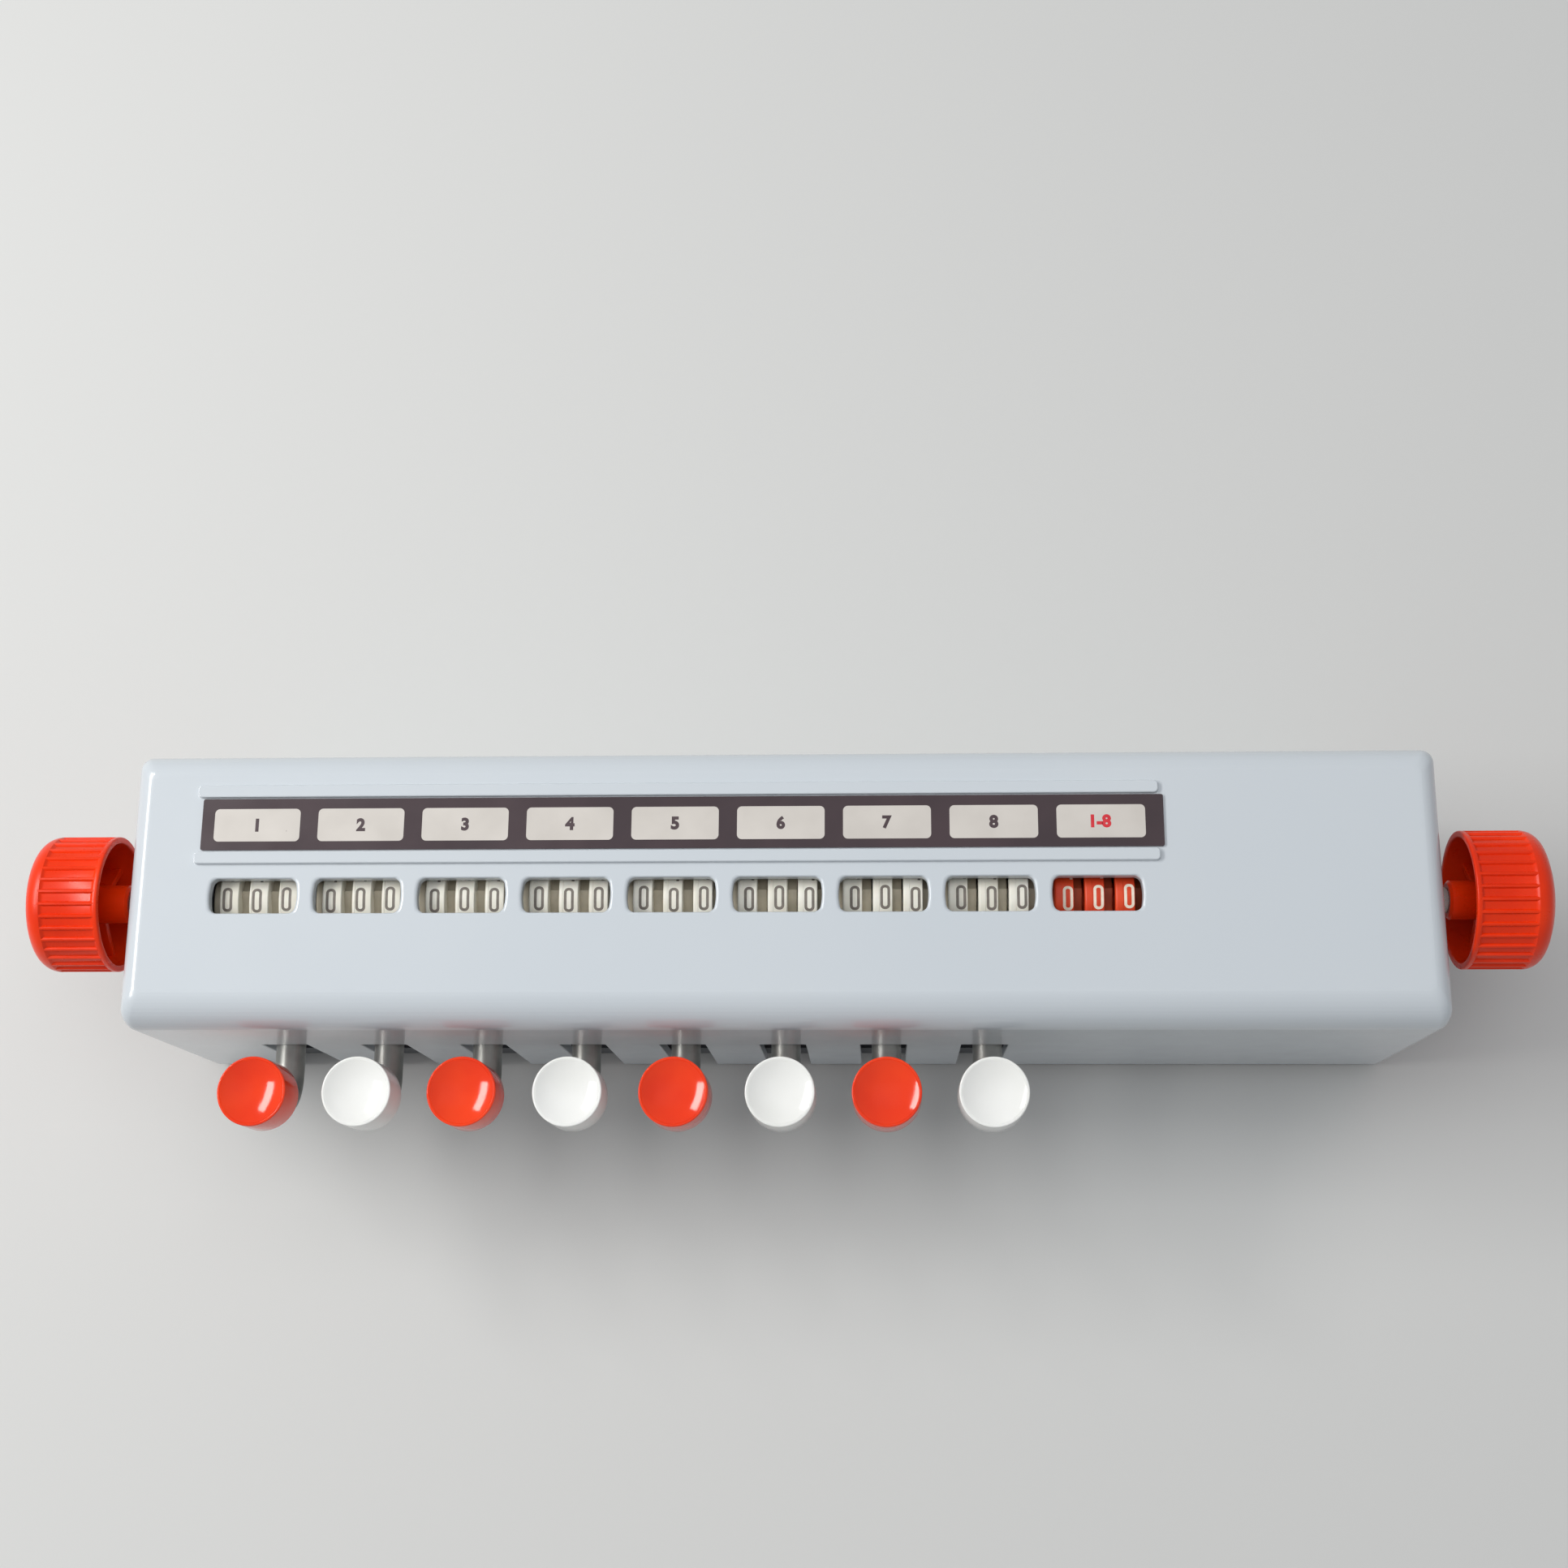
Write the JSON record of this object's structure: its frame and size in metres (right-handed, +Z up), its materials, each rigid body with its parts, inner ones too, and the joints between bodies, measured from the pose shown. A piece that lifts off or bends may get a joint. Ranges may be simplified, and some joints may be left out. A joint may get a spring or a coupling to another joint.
{
  "type": "differential cell counter",
  "caption": "Bench cell counter: long glossy case with digit windows, a label strip, round finger keys along the front and a fluted reset knob at each end.",
  "frame": {"origin": "middle of the overall box in plan, on the surface that the rubber feet stand on", "axes": "+X along the case, from the first counter towards the total counter; -Y towards the keys; +Z up"},
  "size_m": [0.3534, 0.086, 0.075],
  "materials": {
    "cover": "glossy light grey-blue",
    "tray": "zinc-plated sheet",
    "feet": "matte black",
    "screws": "zinc-plated",
    "strip": "printed dark brown strip with pale label fields",
    "shaft": "bright turned steel",
    "bushes": "turned brass",
    "knob_left": "glossy orange-red",
    "knob_right": "glossy orange-red",
    "plates": "plain steel sheet",
    "comb": "spring steel",
    "axle": "bright steel rod",
    "springs": "spring wire",
    "bail": "satin steel",
    "gong": "nickel plated",
    "bracket": "zinc-plated sheet",
    "hammer": "satin steel",
    "wheel_1_units": "ivory with grey-brown digits",
    "wheel_1_tens": "ivory with grey-brown digits",
    "wheel_1_hundreds": "ivory with grey-brown digits",
    "key_lever_1": "satin steel",
    "key_cap_1": "glossy orange-red",
    "wheel_2_units": "ivory with grey-brown digits",
    "wheel_2_tens": "ivory with grey-brown digits",
    "wheel_2_hundreds": "ivory with grey-brown digits",
    "key_lever_2": "satin steel",
    "key_cap_2": "glossy white",
    "wheel_3_units": "ivory with grey-brown digits",
    "wheel_3_tens": "ivory with grey-brown digits",
    "wheel_3_hundreds": "ivory with grey-brown digits",
    "key_lever_3": "satin steel",
    "key_cap_3": "glossy orange-red",
    "wheel_4_units": "ivory with grey-brown digits",
    "wheel_4_tens": "ivory with grey-brown digits",
    "wheel_4_hundreds": "ivory with grey-brown digits",
    "key_lever_4": "satin steel",
    "key_cap_4": "glossy white",
    "wheel_5_units": "ivory with grey-brown digits",
    "wheel_5_tens": "ivory with grey-brown digits",
    "wheel_5_hundreds": "ivory with grey-brown digits",
    "key_lever_5": "satin steel",
    "key_cap_5": "glossy orange-red",
    "wheel_6_units": "ivory with grey-brown digits",
    "wheel_6_tens": "ivory with grey-brown digits",
    "wheel_6_hundreds": "ivory with grey-brown digits",
    "key_lever_6": "satin steel",
    "key_cap_6": "glossy white",
    "wheel_7_units": "ivory with grey-brown digits",
    "wheel_7_tens": "ivory with grey-brown digits",
    "wheel_7_hundreds": "ivory with grey-brown digits",
    "key_lever_7": "satin steel",
    "key_cap_7": "glossy orange-red",
    "wheel_8_units": "ivory with grey-brown digits",
    "wheel_8_tens": "ivory with grey-brown digits",
    "wheel_8_hundreds": "ivory with grey-brown digits",
    "key_lever_8": "satin steel",
    "key_cap_8": "glossy white",
    "wheel_total_units": "orange-red with white digits",
    "wheel_total_tens": "orange-red with white digits",
    "wheel_total_hundreds": "orange-red with white digits"
  },
  "bodies": {
    "case": {"top_cover": "cover", "base_tray": "tray", "rubber_feet": "feet", "case_screws": "screws", "label_strip": "strip", "shaft_bushes": "bushes", "bearing_plates": "plates", "detent_comb": "comb", "key_axle": "axle", "return_springs": "springs", "bell_gong": "gong", "bell_bracket": "bracket"},
    "reset_shaft": {"reset_shaft": "shaft", "reset_knob_left": "knob_left", "reset_knob_right": "knob_right"},
    "wheel_1_units": {"wheel_1_units": "wheel_1_units"},
    "wheel_1_tens": {"wheel_1_tens": "wheel_1_tens"},
    "wheel_1_hundreds": {"wheel_1_hundreds": "wheel_1_hundreds"},
    "key_1": {"key_lever_1": "key_lever_1", "key_cap_1": "key_cap_1"},
    "wheel_2_units": {"wheel_2_units": "wheel_2_units"},
    "wheel_2_tens": {"wheel_2_tens": "wheel_2_tens"},
    "wheel_2_hundreds": {"wheel_2_hundreds": "wheel_2_hundreds"},
    "key_2": {"key_lever_2": "key_lever_2", "key_cap_2": "key_cap_2"},
    "wheel_3_units": {"wheel_3_units": "wheel_3_units"},
    "wheel_3_tens": {"wheel_3_tens": "wheel_3_tens"},
    "wheel_3_hundreds": {"wheel_3_hundreds": "wheel_3_hundreds"},
    "key_3": {"key_lever_3": "key_lever_3", "key_cap_3": "key_cap_3"},
    "wheel_4_units": {"wheel_4_units": "wheel_4_units"},
    "wheel_4_tens": {"wheel_4_tens": "wheel_4_tens"},
    "wheel_4_hundreds": {"wheel_4_hundreds": "wheel_4_hundreds"},
    "key_4": {"key_lever_4": "key_lever_4", "key_cap_4": "key_cap_4"},
    "wheel_5_units": {"wheel_5_units": "wheel_5_units"},
    "wheel_5_tens": {"wheel_5_tens": "wheel_5_tens"},
    "wheel_5_hundreds": {"wheel_5_hundreds": "wheel_5_hundreds"},
    "key_5": {"key_lever_5": "key_lever_5", "key_cap_5": "key_cap_5"},
    "wheel_6_units": {"wheel_6_units": "wheel_6_units"},
    "wheel_6_tens": {"wheel_6_tens": "wheel_6_tens"},
    "wheel_6_hundreds": {"wheel_6_hundreds": "wheel_6_hundreds"},
    "key_6": {"key_lever_6": "key_lever_6", "key_cap_6": "key_cap_6"},
    "wheel_7_units": {"wheel_7_units": "wheel_7_units"},
    "wheel_7_tens": {"wheel_7_tens": "wheel_7_tens"},
    "wheel_7_hundreds": {"wheel_7_hundreds": "wheel_7_hundreds"},
    "key_7": {"key_lever_7": "key_lever_7", "key_cap_7": "key_cap_7"},
    "wheel_8_units": {"wheel_8_units": "wheel_8_units"},
    "wheel_8_tens": {"wheel_8_tens": "wheel_8_tens"},
    "wheel_8_hundreds": {"wheel_8_hundreds": "wheel_8_hundreds"},
    "key_8": {"key_lever_8": "key_lever_8", "key_cap_8": "key_cap_8"},
    "wheel_total_units": {"wheel_total_units": "wheel_total_units"},
    "wheel_total_tens": {"wheel_total_tens": "wheel_total_tens"},
    "wheel_total_hundreds": {"wheel_total_hundreds": "wheel_total_hundreds"},
    "total_bail": {"total_bail": "bail"},
    "bell_hammer": {"bell_hammer": "hammer"}
  },
  "joints": [
    {"name": "reset_turn", "type": "hinge", "parent": "case", "child": "reset_shaft", "pos_m": [0, 0.01, 0.0586], "axis": [1, 0, 0], "continuous": true},
    {"name": "wheel_1_units_turn", "type": "hinge", "parent": "reset_shaft", "child": "wheel_1_units", "pos_m": [-0.1131, 0.01, 0.0586], "axis": [1, 0, 0], "continuous": true},
    {"name": "wheel_1_tens_turn", "type": "hinge", "parent": "reset_shaft", "child": "wheel_1_tens", "pos_m": [-0.12, 0.01, 0.0586], "axis": [1, 0, 0], "continuous": true},
    {"name": "wheel_1_hundreds_turn", "type": "hinge", "parent": "reset_shaft", "child": "wheel_1_hundreds", "pos_m": [-0.1269, 0.01, 0.0586], "axis": [1, 0, 0], "continuous": true},
    {"name": "key_1_press", "type": "hinge", "parent": "case", "child": "key_1", "pos_m": [-0.1193, 0.017, 0.028], "axis": [1, 0, 0], "range_deg": [0, 8], "stiffness_Nm_per_rad": 0.3, "springref_deg": -8.59},
    {"name": "wheel_2_units_turn", "type": "hinge", "parent": "reset_shaft", "child": "wheel_2_units", "pos_m": [-0.0891, 0.01, 0.0586], "axis": [1, 0, 0], "continuous": true},
    {"name": "wheel_2_tens_turn", "type": "hinge", "parent": "reset_shaft", "child": "wheel_2_tens", "pos_m": [-0.096, 0.01, 0.0586], "axis": [1, 0, 0], "continuous": true},
    {"name": "wheel_2_hundreds_turn", "type": "hinge", "parent": "reset_shaft", "child": "wheel_2_hundreds", "pos_m": [-0.1029, 0.01, 0.0586], "axis": [1, 0, 0], "continuous": true},
    {"name": "key_2_press", "type": "hinge", "parent": "case", "child": "key_2", "pos_m": [-0.0953, 0.017, 0.028], "axis": [1, 0, 0], "range_deg": [0, 8], "stiffness_Nm_per_rad": 0.3, "springref_deg": -8.59},
    {"name": "wheel_3_units_turn", "type": "hinge", "parent": "reset_shaft", "child": "wheel_3_units", "pos_m": [-0.0651, 0.01, 0.0586], "axis": [1, 0, 0], "continuous": true},
    {"name": "wheel_3_tens_turn", "type": "hinge", "parent": "reset_shaft", "child": "wheel_3_tens", "pos_m": [-0.072, 0.01, 0.0586], "axis": [1, 0, 0], "continuous": true},
    {"name": "wheel_3_hundreds_turn", "type": "hinge", "parent": "reset_shaft", "child": "wheel_3_hundreds", "pos_m": [-0.0789, 0.01, 0.0586], "axis": [1, 0, 0], "continuous": true},
    {"name": "key_3_press", "type": "hinge", "parent": "case", "child": "key_3", "pos_m": [-0.0713, 0.017, 0.028], "axis": [1, 0, 0], "range_deg": [0, 8], "stiffness_Nm_per_rad": 0.3, "springref_deg": -8.59},
    {"name": "wheel_4_units_turn", "type": "hinge", "parent": "reset_shaft", "child": "wheel_4_units", "pos_m": [-0.0411, 0.01, 0.0586], "axis": [1, 0, 0], "continuous": true},
    {"name": "wheel_4_tens_turn", "type": "hinge", "parent": "reset_shaft", "child": "wheel_4_tens", "pos_m": [-0.048, 0.01, 0.0586], "axis": [1, 0, 0], "continuous": true},
    {"name": "wheel_4_hundreds_turn", "type": "hinge", "parent": "reset_shaft", "child": "wheel_4_hundreds", "pos_m": [-0.0549, 0.01, 0.0586], "axis": [1, 0, 0], "continuous": true},
    {"name": "key_4_press", "type": "hinge", "parent": "case", "child": "key_4", "pos_m": [-0.0473, 0.017, 0.028], "axis": [1, 0, 0], "range_deg": [0, 8], "stiffness_Nm_per_rad": 0.3, "springref_deg": -8.59},
    {"name": "wheel_5_units_turn", "type": "hinge", "parent": "reset_shaft", "child": "wheel_5_units", "pos_m": [-0.0171, 0.01, 0.0586], "axis": [1, 0, 0], "continuous": true},
    {"name": "wheel_5_tens_turn", "type": "hinge", "parent": "reset_shaft", "child": "wheel_5_tens", "pos_m": [-0.024, 0.01, 0.0586], "axis": [1, 0, 0], "continuous": true},
    {"name": "wheel_5_hundreds_turn", "type": "hinge", "parent": "reset_shaft", "child": "wheel_5_hundreds", "pos_m": [-0.0309, 0.01, 0.0586], "axis": [1, 0, 0], "continuous": true},
    {"name": "key_5_press", "type": "hinge", "parent": "case", "child": "key_5", "pos_m": [-0.0233, 0.017, 0.028], "axis": [1, 0, 0], "range_deg": [0, 8], "stiffness_Nm_per_rad": 0.3, "springref_deg": -8.59},
    {"name": "wheel_6_units_turn", "type": "hinge", "parent": "reset_shaft", "child": "wheel_6_units", "pos_m": [0.0069, 0.01, 0.0586], "axis": [1, 0, 0], "continuous": true},
    {"name": "wheel_6_tens_turn", "type": "hinge", "parent": "reset_shaft", "child": "wheel_6_tens", "pos_m": [0, 0.01, 0.0586], "axis": [1, 0, 0], "continuous": true},
    {"name": "wheel_6_hundreds_turn", "type": "hinge", "parent": "reset_shaft", "child": "wheel_6_hundreds", "pos_m": [-0.0069, 0.01, 0.0586], "axis": [1, 0, 0], "continuous": true},
    {"name": "key_6_press", "type": "hinge", "parent": "case", "child": "key_6", "pos_m": [0.0007, 0.017, 0.028], "axis": [1, 0, 0], "range_deg": [0, 8], "stiffness_Nm_per_rad": 0.3, "springref_deg": -8.59},
    {"name": "wheel_7_units_turn", "type": "hinge", "parent": "reset_shaft", "child": "wheel_7_units", "pos_m": [0.0309, 0.01, 0.0586], "axis": [1, 0, 0], "continuous": true},
    {"name": "wheel_7_tens_turn", "type": "hinge", "parent": "reset_shaft", "child": "wheel_7_tens", "pos_m": [0.024, 0.01, 0.0586], "axis": [1, 0, 0], "continuous": true},
    {"name": "wheel_7_hundreds_turn", "type": "hinge", "parent": "reset_shaft", "child": "wheel_7_hundreds", "pos_m": [0.0171, 0.01, 0.0586], "axis": [1, 0, 0], "continuous": true},
    {"name": "key_7_press", "type": "hinge", "parent": "case", "child": "key_7", "pos_m": [0.0247, 0.017, 0.028], "axis": [1, 0, 0], "range_deg": [0, 8], "stiffness_Nm_per_rad": 0.3, "springref_deg": -8.59},
    {"name": "wheel_8_units_turn", "type": "hinge", "parent": "reset_shaft", "child": "wheel_8_units", "pos_m": [0.0549, 0.01, 0.0586], "axis": [1, 0, 0], "continuous": true},
    {"name": "wheel_8_tens_turn", "type": "hinge", "parent": "reset_shaft", "child": "wheel_8_tens", "pos_m": [0.048, 0.01, 0.0586], "axis": [1, 0, 0], "continuous": true},
    {"name": "wheel_8_hundreds_turn", "type": "hinge", "parent": "reset_shaft", "child": "wheel_8_hundreds", "pos_m": [0.0411, 0.01, 0.0586], "axis": [1, 0, 0], "continuous": true},
    {"name": "key_8_press", "type": "hinge", "parent": "case", "child": "key_8", "pos_m": [0.0487, 0.017, 0.028], "axis": [1, 0, 0], "range_deg": [0, 8], "stiffness_Nm_per_rad": 0.3, "springref_deg": -8.59},
    {"name": "wheel_total_units_turn", "type": "hinge", "parent": "reset_shaft", "child": "wheel_total_units", "pos_m": [0.0789, 0.01, 0.0586], "axis": [1, 0, 0], "continuous": true},
    {"name": "wheel_total_tens_turn", "type": "hinge", "parent": "reset_shaft", "child": "wheel_total_tens", "pos_m": [0.072, 0.01, 0.0586], "axis": [1, 0, 0], "continuous": true},
    {"name": "wheel_total_hundreds_turn", "type": "hinge", "parent": "reset_shaft", "child": "wheel_total_hundreds", "pos_m": [0.0651, 0.01, 0.0586], "axis": [1, 0, 0], "continuous": true},
    {"name": "total_bail_lift", "type": "hinge", "parent": "case", "child": "total_bail", "pos_m": [0.072, 0.017, 0.028], "axis": [1, 0, 0], "range_deg": [0, 8], "stiffness_Nm_per_rad": 0.1, "springref_deg": -8.59},
    {"name": "bell_hammer_swing", "type": "hinge", "parent": "case", "child": "bell_hammer", "pos_m": [0.109, 0.0314, 0.045], "axis": [1, 0, 0], "range_deg": [0, 15], "stiffness_Nm_per_rad": 0.002, "springref_deg": -8.59}
  ],
  "couplings": [
    {"joint": "wheel_1_tens_turn", "follows": "wheel_1_units_turn", "ratio": 0.1},
    {"joint": "wheel_1_hundreds_turn", "follows": "wheel_1_units_turn", "ratio": 0.01},
    {"joint": "wheel_2_tens_turn", "follows": "wheel_2_units_turn", "ratio": 0.1},
    {"joint": "wheel_2_hundreds_turn", "follows": "wheel_2_units_turn", "ratio": 0.01},
    {"joint": "wheel_3_tens_turn", "follows": "wheel_3_units_turn", "ratio": 0.1},
    {"joint": "wheel_3_hundreds_turn", "follows": "wheel_3_units_turn", "ratio": 0.01},
    {"joint": "wheel_4_tens_turn", "follows": "wheel_4_units_turn", "ratio": 0.1},
    {"joint": "wheel_4_hundreds_turn", "follows": "wheel_4_units_turn", "ratio": 0.01},
    {"joint": "wheel_5_tens_turn", "follows": "wheel_5_units_turn", "ratio": 0.1},
    {"joint": "wheel_5_hundreds_turn", "follows": "wheel_5_units_turn", "ratio": 0.01},
    {"joint": "wheel_6_tens_turn", "follows": "wheel_6_units_turn", "ratio": 0.1},
    {"joint": "wheel_6_hundreds_turn", "follows": "wheel_6_units_turn", "ratio": 0.01},
    {"joint": "wheel_7_tens_turn", "follows": "wheel_7_units_turn", "ratio": 0.1},
    {"joint": "wheel_7_hundreds_turn", "follows": "wheel_7_units_turn", "ratio": 0.01},
    {"joint": "wheel_8_tens_turn", "follows": "wheel_8_units_turn", "ratio": 0.1},
    {"joint": "wheel_8_hundreds_turn", "follows": "wheel_8_units_turn", "ratio": 0.01},
    {"joint": "wheel_total_tens_turn", "follows": "wheel_total_units_turn", "ratio": 0.1},
    {"joint": "wheel_total_hundreds_turn", "follows": "wheel_total_units_turn", "ratio": 0.01}
  ]
}
